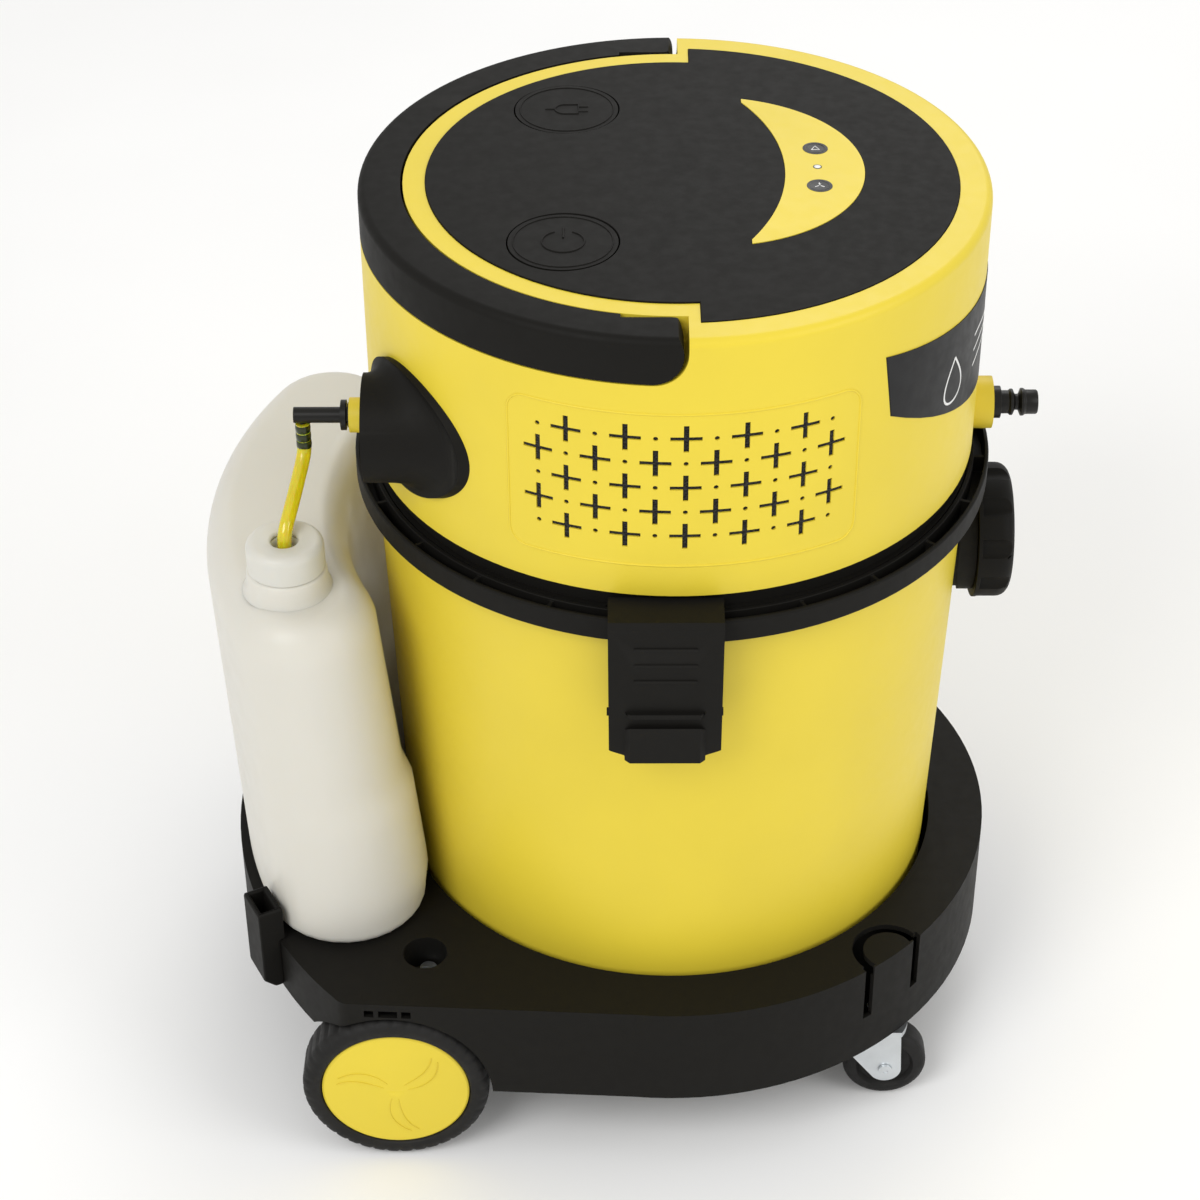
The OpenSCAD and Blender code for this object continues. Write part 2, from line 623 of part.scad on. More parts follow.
module head_base() color(black) on_axis() difference() {
  union() {
    translate([0, 0, 424]) cylinder(h = 4.5, r = 183.5, $fn = big);
    translate([0, 0, 428]) tube(180, 177.5, 16, big);
    translate([0, 0, 428]) tube(76, 73.2, 8, big);
  }
  translate([0, 0, 420]) cylinder(h = 20, r = 32, $fn = big);
  // notches under the latch hooks
  for (s = [-1, 1]) translate([latch_x - 34, s * 190 - 12, 420]) cube([68, 24, 30]);
  for (a = screw_angles) at_angle(a, screw_ring, 420) cylinder(h = 20, r = 2.2, $fn = 32);
}
module head_seal() color("#303030") on_axis() translate([0, 0, drum_rim + 0.3]) difference() {
  tube(183, 174, 1.7, big);
  for (s = [-1, 1]) translate([latch_x - 34, s * 190 - 12, -1]) cube([68, 24, 30]);
}
module head_screws() color(steel) on_axis() for (a = screw_angles) at_angle(a, screw_ring) {
  translate([0, 0, 421]) cylinder(h = 3, r = 4, $fn = 32);
  translate([0, 0, 423]) cylinder(h = 27, r = 2, $fn = 32);
}

// ---------------------------------------------------------------- cover and its panel
button_pos = [-64, 80.5];
button_r = 31.2;
crescent_c = [20, 4.5];
crescent_r = 91;
bite_x = -103.5;
bite_r = 168;
light_x = 83.5;
light_y = 5.5;
light_gap = 22.9;
module crescent_outline(g = 0) translate([0, crescent_c[1]]) difference() {
  translate([crescent_c[0], 0]) circle(r = crescent_r + g, $fn = big);
  translate([bite_x, 0]) circle(r = bite_r - g, $fn = big);
  translate([0, -200]) square([42 - g, 400]);
}
module top_cover() color(black) on_axis() difference() {
  intersection() {
    translate([0, 0, head_top - cover_t + 0.1]) linear_extrude(20) cover_outline();
    crown_solid();
  }
  for (s = [-1, 1]) translate([button_pos[0], s * button_pos[1], 590])
    cylinder(h = 40, r = button_r + 0.8);
  difference() {
    translate([0, 0, 600]) linear_extrude(30) crescent_outline(0.1);
    crown_solid(-0.9);
  }
}
module lights(r) for (i = [-1, 1]) translate([light_x, light_y + i * light_gap, 600])
  cylinder(h = 30, r = r);
module crescent_panel() color(yellow) on_axis() difference() {
  intersection() {
    translate([0, 0, 600]) linear_extrude(30) crescent_outline();
    crown_solid(0.25);
  }
  crown_solid(-0.9, 590);
  lights(7.5);
  translate([light_x, light_y, 600]) cylinder(h = 30, r = 2.6, $fn = 32);
}
module indicators() color("#1c1c1c") on_axis() difference() {
  intersection() {
    union() {
      lights(7.4);
      translate([light_x, light_y, 600]) cylinder(h = 30, r = 2.5, $fn = 32);
    }
    crown_solid(0.4);
  }
  crown_solid(-0.9, 590);
}
function badge_top(a) = 559 + 15 * pow(a / 52, 2);
function badge_low(a) = 489 + 0.0176 * a * a;
module badge() color("#1a1a1a") on_axis() intersection() {
  translate([0, 0, 480]) tube(head_r + 0.5, head_r, 110, big);
  rotate([90, 0, 90]) linear_extrude(200) polygon(concat(
    [for (a = [-52 : 4 : 52]) [head_r * sin(a), badge_top(a)]],
    [for (a = [50 : -4 : -50]) [head_r * sin(a), badge_low(a)]]));
}

// ---------------------------------------------------------------- ports of the head
module exhaust_spigot() color(black) on_axis() difference() {
  union() {
    intersection() {
      along_x(exhaust_x, exhaust_y, exhaust_z, 60, exhaust_r - 0.1);
      translate([-300, -300, 0]) cube([300 - 118, 600, 700]);
    }
    difference() {
      intersection() {
        along_x(exhaust_x - 8, exhaust_y, exhaust_z, 90, 41);
        cylinder(h = 700, r = head_r + 4, $fn = big);
      }
      cylinder(h = 700, r = head_r, $fn = big);
    }
  }
  along_x(exhaust_x - 20, exhaust_y, exhaust_z, 90, exhaust_r - 3);
  along_x(-230, elbow_y, elbow_z, 80, elbow_boss_r + 0.4);
}
module vent_foam() color("#101010") on_axis() for (s = [-1, 1]) intersection() {
  translate([0, 0, 463]) tube(head_r - shell_wall, head_r - shell_wall - 5, 98, big);
  linear_extrude(700) polygon([[0, 0], 300 * [cos(s * 58), sin(s * 58)],
    300 * [cos(s * 89), sin(s * 89)], 300 * [cos(s * 119.5), sin(s * 119.5)]]);
}
nose_r = 7.6;
module coupler_profile() translate([boss_x + 0.9, 0, boss_z]) rotate([0, 90, 0])
  rotate_extrude($fn = 64) polygon([[2.5, -20], [5, -20], [5, 0], [10, 0], [10, 4.5],
    [7.2, 4.5], [7.2, 9.5], [8.2, 10.5], [8.2, 12], [5, 13.5], [5, 15.5], [8.6, 17], [8.6, 18.6],
    [nose_r, 20], [nose_r, 26.4], [7, 27.4], [2.5, 27.4]]);
module outlet_coupler() color(black) on_axis() coupler_profile();
module coupler_seal() color("#303030") on_axis() {
  translate([boss_x, 0, boss_z]) rotate([0, 90, 0]) tube(11.5, 5, 0.9);
  translate([-193.4, elbow_y, elbow_z]) rotate([0, 90, 0]) tube(7.5, 4, 0.9);
}
module elbow_barb() color(black) on_axis() {
  x0 = barb_pos[0];
  difference() {
    union() {
      along_x(x0 - 4.8, elbow_y, elbow_z, -193.4 - x0 + 4.8, 4.8, 48);
      along_x(-197.6, elbow_y, elbow_z, 3.2, 9.1, 48);
      along_x(-195, elbow_y, elbow_z, 40, 4, 48);
    }
    translate([x0 - 10, elbow_y - 10, elbow_z + 4.9]) cube(20);
  }
  translate([x0, elbow_y, 458]) rotate_extrude($fn = 48) polygon([[0, 0], [2, 0], [2.8, 4],
    [2.1, 4.2], [2.8, 8.2], [2.1, 8.4], [2.8, 12.4], [2.1, 12.6], [2.1, 19], [2.8, 19.2],
    [2.8, 22], [0, 22]]);
}

// ---------------------------------------------------------------- handle
module handle() color(black) on_axis() difference() {
  end = hinge_x + hinge_r;
  flat = handle_in + 0.3;
  round = 7;
  // band round the rear half
  rotate_extrude($fn = big) polygon(concat([[handle_in, handle_low], [head_r, handle_low]],
    arc([head_r - edge_r, handle_top - edge_r], edge_r, 0, 90, 8), [[handle_in, handle_top]]));
  translate([end + 0.5, -300, handle_low - cut]) cube([300, 600, 40]);
  // round ends at the hinge
  difference() {
    translate([hinge_x, -300, handle_low - cut]) cube([40, 600, 40]);
    along_y(hinge_x, -301, hinge_z, 602, hinge_r, big);
  }
  // flat inner faces beside the hinge, rounded into the ends
  translate([-32, -flat, handle_low - cut]) cube([40, 2 * flat, 40]);
  for (s = [-1, 1]) difference() {
    translate([end - round, s > 0 ? flat - 1 : -flat - round, handle_low - cut])
      cube([round + 1, round + 1, 40]);
    translate([end - round, s * (flat + round), handle_low - 1])
      cylinder(h = 42, r = round, $fn = 64);
  }
  for (s = [-1, 1]) along_y(hinge_x, s > 0 ? 150 : -172, hinge_z, 22, pin_big + fit, 48);
}
module handle_pins() color(steel) on_axis() for (s = [-1, 1])
  along_y(hinge_x, s > 0 ? 146 : -171.5, hinge_z, 25.5, pin_big, 48);

// ---------------------------------------------------------------- buttons and switches
button_top = handle_top + 1.1;
module button() {
  translate([0, 0, button_top - 5]) cylinder(h = 5, r = button_r);
  translate([0, 0, 584]) cylinder(h = 22, r = 8);
}
module button_power() color(black) on_axis()
  translate([button_pos[0], -button_pos[1], 0]) button();
module button_pump() color(black) on_axis()
  translate([button_pos[0], button_pos[1], 0]) button();
module button_spring(s) color(steel) on_axis()
  translate([button_pos[0], s * button_pos[1], 590]) tube(12, 10.5, button_top - 5.3 - 590, 48);
module switch_bracket() color("#404040") on_axis() {
  post_y = 118.5;
  difference() {
    union() {
      translate([button_pos[0] - 20, -105, 586]) cube([40, 210, 4]);
      translate([button_pos[0] - 12, -post_y, 586]) cube([24, 2 * post_y, 4]);
      // posts that hang the bracket from the cover
      for (y = [-post_y, post_y - 3]) translate([button_pos[0] - 12, y, 586])
        cube([24, 3, head_top - cover_t + 0.1 - 586]);
    }
    for (s = [-1, 1]) translate([button_pos[0], s * button_pos[1], 580])
      cylinder(h = 20, r = 8 + fit);
  }
  for (s = [-1, 1]) translate([button_pos[0], s * button_pos[1], 0]) {
    translate([-14, -10, 560]) cube([28, 20, 18]);
    for (x = [-18, 14]) translate([x, -10, 560]) cube([4, 20, 27]);
  }
}
module control_board() color("#2e6b3c") on_axis() {
  translate([20, -45, 590]) cube([80, 90, 1.6]);
  for (p = [[30, -30], [30, 10], [60, -10]]) translate([p[0], p[1], 580]) cube([18, 16, 10.5]);
  for (i = [-1, 1]) translate([light_x, light_y + i * light_gap, 591]) cylinder(h = 10, r = 3);
  for (p = [[24, -41], [24, 41], [96, -41], [96, 41]]) translate([p[0], p[1], 591])
    cylinder(h = 13.6, r = 3);
}

// ---------------------------------------------------------------- motor and pump
motor_low = 428.5;
module motor_housing() color("#505050") on_axis() difference() {
  rotate_extrude($fn = big) polygon([[30, motor_low], [72.8, motor_low], [72.8, 476], [50, 480],
    [50, 552], [10, 556], [10, 560], [5 + fit, 560], [5 + fit, 552], [46, 549], [46, 478],
    [70, 474], [70, 432], [30, 432]]);
  along_x(-80, -40, 455, 60, 12);
}
module motor_stator() color("#7a5230") on_axis() translate([0, 0, 486]) {
  tube(46, 34, 44, big);
}
module motor_rotor() color("#9a9da0") on_axis() {
  translate([0, 0, 436]) cylinder(h = 126, r = 5);
  translate([0, 0, 488]) cylinder(h = 40, r = 33, $fn = big);
  translate([0, 0, 534]) cylinder(h = 12, r = 16);
  translate([0, 0, 440]) tube(64, 22, 2, big);
  translate([0, 0, 456]) cylinder(h = 2, r = 64, $fn = big);
  translate([0, 0, 441]) cylinder(h = 16, r = 9);
  for (i = [0 : 7]) rotate([0, 0, i * 45]) translate([23, -1, 441]) cube([40, 2, 16]);
}
module pump_body() color("#3c4248") on_axis() difference() {
  union() {
    translate([86, -22, 430]) cube([52, 44, 40]);
    along_x(137, 0, boss_z, 8, 6, 48);
    translate([84, -28, 428.5]) cube([56, 56, 3]);
  }
  along_x(100, 0, boss_z, 60, 3.5, 48);
  along_x(86 - cut, 0, boss_z, 36, 6 + fit, 48);
}
module pump_plunger() color(steel) on_axis() along_x(89, 0, boss_z, 26, 6, 48);
hose_route = [[-155, -60, 481.5], [-149, -60, 481.5], [-144, -62.5, 479.5], [-138, -66, 474],
  [-132, -70, 464], [-128, -74, 454], [-122, -79, 447], [-112, -84, 444], [-95, -89, 443],
  [-70, -93, 443], [-40, -96, 443], [-10, -96, 443], [20, -92, 444], [48, -84, 445],
  [72, -72, 447], [90, -58, 449], [100, -44, 450], [104.6, -31, 451], [105, -26.5, 451],
  [105, -22, 451]];
module pump_hoses() color("#d8d8d8") on_axis() {
  sweep(hose_route, 4.5, 8, [0, 0, 1]);
  translate([145, 0, boss_z]) rotate([0, 90, 0]) tube(6, 4, boss_x + 0.9 - 20 - 145, 48);
}

// ---------------------------------------------------------------- float valve under the head
cage_low = 344;
module float_cage() color("#e0e0dc") on_axis() difference() {
  union() {
    translate([0, 0, cage_low]) tube(36, 33.5, 424 - cage_low, big);
    translate([0, 0, cage_low]) cylinder(h = 3, r = 36, $fn = big);
    translate([0, 0, 421]) tube(46, 26, 3, big);
  }
  for (i = [0 : 5]) rotate([0, 0, i * 60]) translate([20, -9, cage_low + 12]) cube([30, 18, 50]);
  translate([0, 0, cage_low - cut]) cylinder(h = 10, r = 8);
}
module float_ball() color("#d8863a") on_axis() translate([0, 0, cage_low + 33])
  sphere(r = 29, $fn = 64);

// ---------------------------------------------------------------- what each node draws
dolly_base();
tool_holders();
base_fasteners();
rear_axle();
tyre_right();
rim_right();
hub_cap_right();
left() tyre_right();  // tyre_left
left() rim_right();  // rim_left
left() hub_cap_right();  // hub_cap_left
caster_plates();
caster_fork(-1);  // caster_fork_right
caster_axle(-1);  // caster_axle_right
caster_wheel(-1);  // caster_wheel_right
caster_fork(1);  // caster_fork_left
caster_axle(1);  // caster_axle_left
caster_wheel(1);  // caster_wheel_left
drum();
rim_ring();
latch_bases();
latch_pins();
latch_right();
left() latch_right();  // latch_left
inlet_spigot();
inlet_gasket();
inlet_ring();
tank_body();
cap_seal();
tank_cap();
suction_tube();
tube_filter();
head_shell();
head_base();
head_seal();
head_screws();
top_cover();
crescent_panel();
indicators();
badge();
exhaust_spigot();
vent_foam();
outlet_coupler();
coupler_seal();
elbow_barb();
pump_hoses();
handle();
handle_pins();
button_power();
button_pump();
button_spring(-1);  // spring_power
button_spring(1);  // spring_pump
switch_bracket();
control_board();
motor_housing();
motor_stator();
motor_rotor();
pump_body();
pump_plunger();
float_cage();
float_ball();
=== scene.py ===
import json
import math

import bmesh
import bpy
from mathutils import Matrix, Vector


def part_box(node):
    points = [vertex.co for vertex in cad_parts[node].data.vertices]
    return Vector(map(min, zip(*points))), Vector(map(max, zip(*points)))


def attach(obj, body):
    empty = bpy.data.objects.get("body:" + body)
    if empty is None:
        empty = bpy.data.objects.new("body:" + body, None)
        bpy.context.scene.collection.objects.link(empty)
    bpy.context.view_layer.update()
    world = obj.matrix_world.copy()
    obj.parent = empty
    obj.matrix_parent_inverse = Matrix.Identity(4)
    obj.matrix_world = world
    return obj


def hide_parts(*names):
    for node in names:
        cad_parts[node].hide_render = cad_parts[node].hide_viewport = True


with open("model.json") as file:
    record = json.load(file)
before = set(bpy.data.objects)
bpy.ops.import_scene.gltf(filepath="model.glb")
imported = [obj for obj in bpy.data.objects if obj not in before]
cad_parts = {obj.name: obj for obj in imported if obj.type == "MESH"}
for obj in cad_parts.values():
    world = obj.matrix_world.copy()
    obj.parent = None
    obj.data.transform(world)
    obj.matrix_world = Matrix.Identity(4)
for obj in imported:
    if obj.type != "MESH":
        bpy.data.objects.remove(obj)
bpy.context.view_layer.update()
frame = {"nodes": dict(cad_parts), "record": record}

# The looks of a compact spot extractor, built round its CAD frame. +X is the front, +Z is up,
# and the drum's axis stands at DRUM_X. Lengths are in metres; MM turns millimetres into them.
MM = 0.001
NODES = frame["nodes"]
RIGHT = -1           # side of the machine with y < 0
LEFT = 1

CAMERA_PLACE = (-0.0012, -1.4733, 1.40155)
CAMERA_YAW, CAMERA_PITCH, CAMERA_ROLL = -0.38, 36.81, -0.33     # degrees, with the pitch downward
CAMERA_SENSOR, CAMERA_LENS = 36, 85.08                          # millimetres


def node_box(name):
    """Lowest corner, highest corner and middle of a CAD node."""
    low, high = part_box(name)
    return low, high, (low + high) / 2


DRUM_X = node_box("drum")[2].x
HEAD_R = (node_box("handle")[1].y - node_box("handle")[0].y) / 2


# ---------------------------------------------------------------- camera, as the photographer stood
def make_camera():
    """The camera as solved from the photo's circles and verticals."""
    yaw, pitch, roll = (math.radians(a) for a in (CAMERA_YAW, CAMERA_PITCH, CAMERA_ROLL))
    forward = Vector((math.sin(yaw) * math.cos(pitch), math.cos(yaw) * math.cos(pitch),
                      -math.sin(pitch)))
    level = Vector((math.cos(yaw), -math.sin(yaw), 0))
    upright = level.cross(forward)
    across = level * math.cos(roll) + upright * math.sin(roll)
    up = upright * math.cos(roll) - level * math.sin(roll)
    data = bpy.data.cameras.new("camera")
    data.sensor_width = CAMERA_SENSOR
    data.lens = CAMERA_LENS
    camera = bpy.data.objects.new("camera", data)
    bpy.context.scene.collection.objects.link(camera)
    turn = Matrix((across, up, -forward)).transposed().to_4x4()
    camera.matrix_world = Matrix.Translation(CAMERA_PLACE) @ turn
    bpy.context.scene.camera = camera


# ---------------------------------------------------------------- materials
class Shader:
    """A principled material with a few short ways to wire procedural detail into it."""

    def __init__(self, name, colour, rough, **sockets):
        self.material = bpy.data.materials.new(name)
        self.material.use_nodes = True
        self.tree = self.material.node_tree
        self.main = self.tree.nodes["Principled BSDF"]
        self.colour = colour
        self.main.inputs["Base Color"].default_value = (*colour, 1)
        self.main.inputs["Roughness"].default_value = rough
        for socket, value in sockets.items():
            self.main.inputs[socket.replace("_", " ")].default_value = value
        self.place = self.tree.nodes.new("ShaderNodeTexCoord").outputs["Object"]

    def noise(self, scale, detail=3.0, stretch=(1, 1, 1)):
        mapping = self.tree.nodes.new("ShaderNodeMapping")
        mapping.inputs["Scale"].default_value = stretch
        self.tree.links.new(self.place, mapping.inputs["Vector"])
        node = self.tree.nodes.new("ShaderNodeTexNoise")
        node.inputs["Scale"].default_value = scale
        node.inputs["Detail"].default_value = detail
        self.tree.links.new(mapping.outputs["Vector"], node.inputs["Vector"])
        return node.outputs["Fac"]

    def cells(self, scale):
        node = self.tree.nodes.new("ShaderNodeTexVoronoi")
        node.inputs["Scale"].default_value = scale
        self.tree.links.new(self.place, node.inputs["Vector"])
        return node.outputs["Distance"]

    def spread(self, value, low, high):
        """value from its middle range onto low to high."""
        node = self.tree.nodes.new("ShaderNodeMapRange")
        node.inputs["From Min"].default_value = 0.3
        node.inputs["From Max"].default_value = 0.7
        node.inputs["To Min"].default_value = low
        node.inputs["To Max"].default_value = high
        self.tree.links.new(value, node.inputs["Value"])
        return node.outputs["Result"]

    def tint(self, value, light, dark):
        """Base colour between two shades of the material's own colour."""
        node = self.tree.nodes.new("ShaderNodeMix")
        node.data_type = "RGBA"
        node.inputs["A"].default_value = (*(c * dark for c in self.colour), 1)
        node.inputs["B"].default_value = (*(min(1, c * light) for c in self.colour), 1)
        self.tree.links.new(self.spread(value, 0, 1), node.inputs["Factor"])
        self.tree.links.new(node.outputs["Result"], self.main.inputs["Base Color"])
        return node.outputs["Result"]

    def cover(self, factor, shade):
        """Lays a shade over the base colour as it is wired so far."""
        base = self.main.inputs["Base Color"].links[0].from_socket
        node = self.tree.nodes.new("ShaderNodeMix")
        node.data_type = "RGBA"
        node.inputs["B"].default_value = (*shade, 1)
        self.tree.links.new(factor, node.inputs["Factor"])
        self.tree.links.new(base, node.inputs["A"])
        self.tree.links.new(node.outputs["Result"], self.main.inputs["Base Color"])

    def dust(self, amount, shade):
        """A little pale dust on faces that look up."""
        geometry = self.tree.nodes.new("ShaderNodeNewGeometry")
        split = self.tree.nodes.new("ShaderNodeSeparateXYZ")
        self.tree.links.new(geometry.outputs["Normal"], split.inputs["Vector"])
        up = self.tree.nodes.new("ShaderNodeMath")
        up.operation = "MULTIPLY"
        up.use_clamp = True
        self.tree.links.new(split.outputs["Z"], up.inputs[0])
        self.tree.links.new(self.spread(self.noise(55, 6), 0, amount), up.inputs[1])
        self.cover(up.outputs["Value"], shade)

    def wear(self, amount, shade):
        """Rubbed edges: a paler shade where the surface bends outward."""
        geometry = self.tree.nodes.new("ShaderNodeNewGeometry")
        edge = self.tree.nodes.new("ShaderNodeMapRange")
        edge.inputs["From Min"].default_value = 0.53
        edge.inputs["From Max"].default_value = 0.66
        edge.inputs["To Max"].default_value = amount
        self.tree.links.new(geometry.outputs["Pointiness"], edge.inputs["Value"])
        self.cover(edge.outputs["Result"], shade)

    def rough(self, value, low, high):
        self.tree.links.new(self.spread(value, low, high), self.main.inputs["Roughness"])

    def bump(self, value, strength, height):
        node = self.tree.nodes.new("ShaderNodeBump")
        node.inputs["Strength"].default_value = strength
        node.inputs["Distance"].default_value = height
        self.tree.links.new(value, node.inputs["Height"])
        last = self.main.inputs["Normal"].links
        if last:
            self.tree.links.new(last[0].from_socket, node.inputs["Normal"])
        self.tree.links.new(node.outputs["Normal"], self.main.inputs["Normal"])


def moulded(name, colour, rough, grain, grain_height, level=0.4, wear=0.0):
    """Injection moulded plastic: fine spark-eroded grain, slow flow marks, a little handling."""
    s = Shader(name, colour, rough, Specular_IOR_Level=level)
    s.tint(s.noise(9, 4), 1.03, 0.96)
    if wear:
        s.wear(wear, tuple(min(1, 2.6 * c + 0.02) for c in colour))
    s.rough(s.noise(140, 3), rough - 0.03, rough + 0.04)
    s.bump(s.noise(6, 2), 0.2, 0.3 * MM)
    s.bump(s.noise(grain, 2), 0.35, grain_height)
    return s.material


def metal(name, colour, rough):
    """Bare metal with fine level streaks."""
    streak, scale = (1, 1, 18), 160
    s = Shader(name, colour, rough, Metallic=1.0)
    s.tint(s.noise(34, 5), 1.05, 0.82)
    s.rough(s.noise(scale, 4, streak), rough - 0.08, rough + 0.1)
    s.bump(s.noise(scale, 4, streak), 0.2, 0.05 * MM)
    return s.material


def soft_rubber(name, colour, rough):
    """Dull rubber with a fine grain and a little dust on top."""
    s = Shader(name, colour, rough, Specular_IOR_Level=0.25)
    s.tint(s.noise(30, 5), 1.25, 0.8)
    s.dust(0.04, (0.3, 0.29, 0.27))
    s.rough(s.noise(220, 4), rough - 0.08, rough + 0.08)
    s.bump(s.noise(900, 3), 0.3, 0.08 * MM)
    return s.material


def milky(name, colour):
    """Blow moulded natural polyethylene: light goes a few millimetres in and comes back warm."""
    s = Shader(name, colour, 0.38, Specular_IOR_Level=0.35, Subsurface_Weight=0.4,
               Subsurface_Scale=0.008, Subsurface_Radius=(1.0, 0.85, 0.7))
    s.tint(s.noise(7, 3, (1, 1, 0.35)), 1.02, 0.965)
    s.rough(s.noise(60, 4), 0.32, 0.45)
    s.bump(s.noise(11, 2, (1, 1, 0.3)), 0.3, 0.8 * MM)
    s.bump(s.noise(420, 2), 0.12, 0.06 * MM)
    return s.material


def clear_hose(name, colour):
    """Tinted clear hose: part of the light goes through, part scatters in the wall."""
    s = Shader(name, colour, 0.12, Transmission_Weight=0.35, IOR=1.4, Subsurface_Weight=0.6,
               Subsurface_Scale=0.004, Coat_Weight=0.7, Coat_Roughness=0.05)
    s.tint(s.noise(40, 3), 1.1, 0.85)
    s.rough(s.noise(90, 3), 0.08, 0.2)
    s.bump(s.noise(70, 2, (1, 1, 0.2)), 0.2, 0.15 * MM)
    return s.material


def foam(name, colour):
    """Open foam, with dark cells."""
    s = Shader(name, colour, 0.95, Specular_IOR_Level=0.1, Sheen_Weight=0.2)
    s.tint(s.cells(700), 1.8, 0.5)
    s.rough(s.noise(500, 3), 0.88, 1.0)
    s.bump(s.cells(700), 0.9, 0.8 * MM)
    return s.material


def printed(name, colour, rough, level=0.4):
    """Film, glossy window or ink, slightly uneven."""
    s = Shader(name, colour, rough, Specular_IOR_Level=level)
    s.tint(s.noise(25, 3), 1.06, 0.94)
    s.rough(s.noise(120, 3), rough - 0.04, rough + 0.06)
    s.bump(s.noise(700, 2), 0.1, 0.03 * MM)
    return s.material


def windings(name, colour):
    """Copper wire, wound close."""
    s = Shader(name, colour, 0.35, Metallic=0.8)
    s.tint(s.noise(120, 3, (1, 1, 12)), 1.3, 0.6)
    s.rough(s.noise(300, 2), 0.3, 0.45)
    s.bump(s.noise(260, 2, (1, 1, 14)), 0.8, 0.4 * MM)
    return s.material


# one finish for each material slot of the frame's record, then the inks and the barb's green
YELLOW = (0.755, 0.590, 0.040)
BLACK = (0.0088, 0.0082, 0.0070)
FINISHES = {
    "yellow_plastic": moulded("yellow_plastic", YELLOW, 0.42, 1500, 0.05 * MM),
    "black_plastic": moulded("black_plastic", BLACK, 0.55, 1300, 0.06 * MM, 0.1, wear=0.15),
    "black_nylon": moulded("black_nylon", BLACK, 0.34, 1400, 0.03 * MM, 0.25, wear=0.2),
    "tyre_rubber": soft_rubber("tyre_rubber", (0.009, 0.0085, 0.008), 0.6),
    "seal_rubber": soft_rubber("seal_rubber", (0.02, 0.02, 0.02), 0.7),
    "zinc_steel": metal("zinc_steel", (0.72, 0.75, 0.77), 0.36),
    "tank_plastic": milky("tank_plastic", (0.66, 0.64, 0.575)),
    "clear_tube": clear_hose("clear_tube", (0.95, 0.80, 0.02)),
    "hose_plastic": moulded("hose_plastic", (0.72, 0.72, 0.69), 0.4, 700, 0.05 * MM),
    "badge_film": printed("badge_film", (0.010, 0.010, 0.0105), 0.45, 0.2),
    "indicator_gloss": printed("indicator_gloss", (0.012, 0.012, 0.012), 0.3, 0.2),
    "foam": foam("foam", (0.012, 0.012, 0.012)),
    "grey_plastic": moulded("grey_plastic", (0.07, 0.07, 0.073), 0.5, 900, 0.1 * MM, wear=0.3),
    "circuit_board": printed("circuit_board", (0.02, 0.13, 0.045), 0.35),
    "copper_winding": windings("copper_winding", (0.55, 0.24, 0.09)),
    "rotor_steel": metal("rotor_steel", (0.42, 0.43, 0.44), 0.35),
    "float_plastic": moulded("float_plastic", (0.62, 0.20, 0.04), 0.4, 800, 0.06 * MM),
}
WHITE_INK = printed("white_ink", (0.80, 0.80, 0.78), 0.4)
BARB_GREEN = printed("barb_green", (0.022, 0.030, 0.006), 0.2)
GREY_INK = printed("grey_ink", (0.05, 0.05, 0.05), 0.4)


def finish_nodes():
    for part in frame["record"]["subparts"]:
        data = NODES[part["node"]].data
        data.materials.clear()
        data.materials.append(FINISHES[part["material_slot"]])


# ---------------------------------------------------------------- helpers for pieces
def add_mesh(name, points, faces, body, material, smooth=True):
    """A piece of its own from points and faces, welded, with its faces turned outward."""
    data = bpy.data.meshes.new(name)
    data.from_pydata([tuple(p) for p in points], [], faces)
    shape = bmesh.new()
    shape.from_mesh(data)
    bmesh.ops.remove_doubles(shape, verts=shape.verts, dist=1e-6)
    bmesh.ops.recalc_face_normals(shape, faces=shape.faces)
    shape.to_mesh(data)
    shape.free()
    if smooth:
        data.shade_smooth()
    piece = bpy.data.objects.new(name, data)
    bpy.context.scene.collection.objects.link(piece)
    data.materials.append(material)
    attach(piece, body)
    return piece


def bridge(rings, capped=True):
    """Joins closed rings of equal length, with the first and last ring filled if capped."""
    count = len(rings[0])
    faces = []
    for k in range(len(rings) - 1):
        here, there = k * count, (k + 1) * count
        for i in range(count):
            j = (i + 1) % count
            faces.append((here + i, here + j, there + j, there + i))
    if capped:
        faces.append(tuple(reversed(range(count))))
        faces.append(tuple(range((len(rings) - 1) * count, len(rings) * count)))
    return [p for ring in rings for p in ring], faces


def lines(name, paths, radius, body, material, closed=True):
    """Fine raised lines: each path is a list of points that a small round bead follows."""
    data = bpy.data.curves.new(name, "CURVE")
    data.dimensions = "3D"
    data.bevel_depth = radius
    data.bevel_resolution = 2
    data.use_fill_caps = True
    for path in paths:
        spline = data.splines.new("POLY")
        spline.points.add(len(path) - 1)
        for point, p in zip(spline.points, path):
            point.co = (*p, 1)
        spline.use_cyclic_u = closed
    piece = bpy.data.objects.new(name, data)
    bpy.context.scene.collection.objects.link(piece)
    data.materials.append(material)
    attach(piece, body)
    return piece


def turned(name, profile, centre, body, material, count=64):
    """A shape turned about a vertical axis from (radius, height) points in millimetres."""
    rings = []
    for i in range(count):
        a = 2 * math.pi * i / count
        rings.append([centre + Vector((r * MM * math.cos(a), r * MM * math.sin(a), z * MM))
                      for r, z in profile])
    size = len(profile)
    points = [p for ring in rings for p in ring]
    faces = []
    for i in range(count):
        here, there = i * size, (i + 1) % count * size
        faces += [(here + k, here + k + 1, there + k + 1, there + k) for k in range(size - 1)]
    return add_mesh(name, points, faces, body, material)


def arc(centre, radius, start, end, count):
    """Points on an arc in a plane, from a start to an end in degrees."""
    turn = [math.radians(start + (end - start) * i / count) for i in range(count + 1)]
    return [(centre[0] + radius * math.cos(a), centre[1] + radius * math.sin(a)) for a in turn]


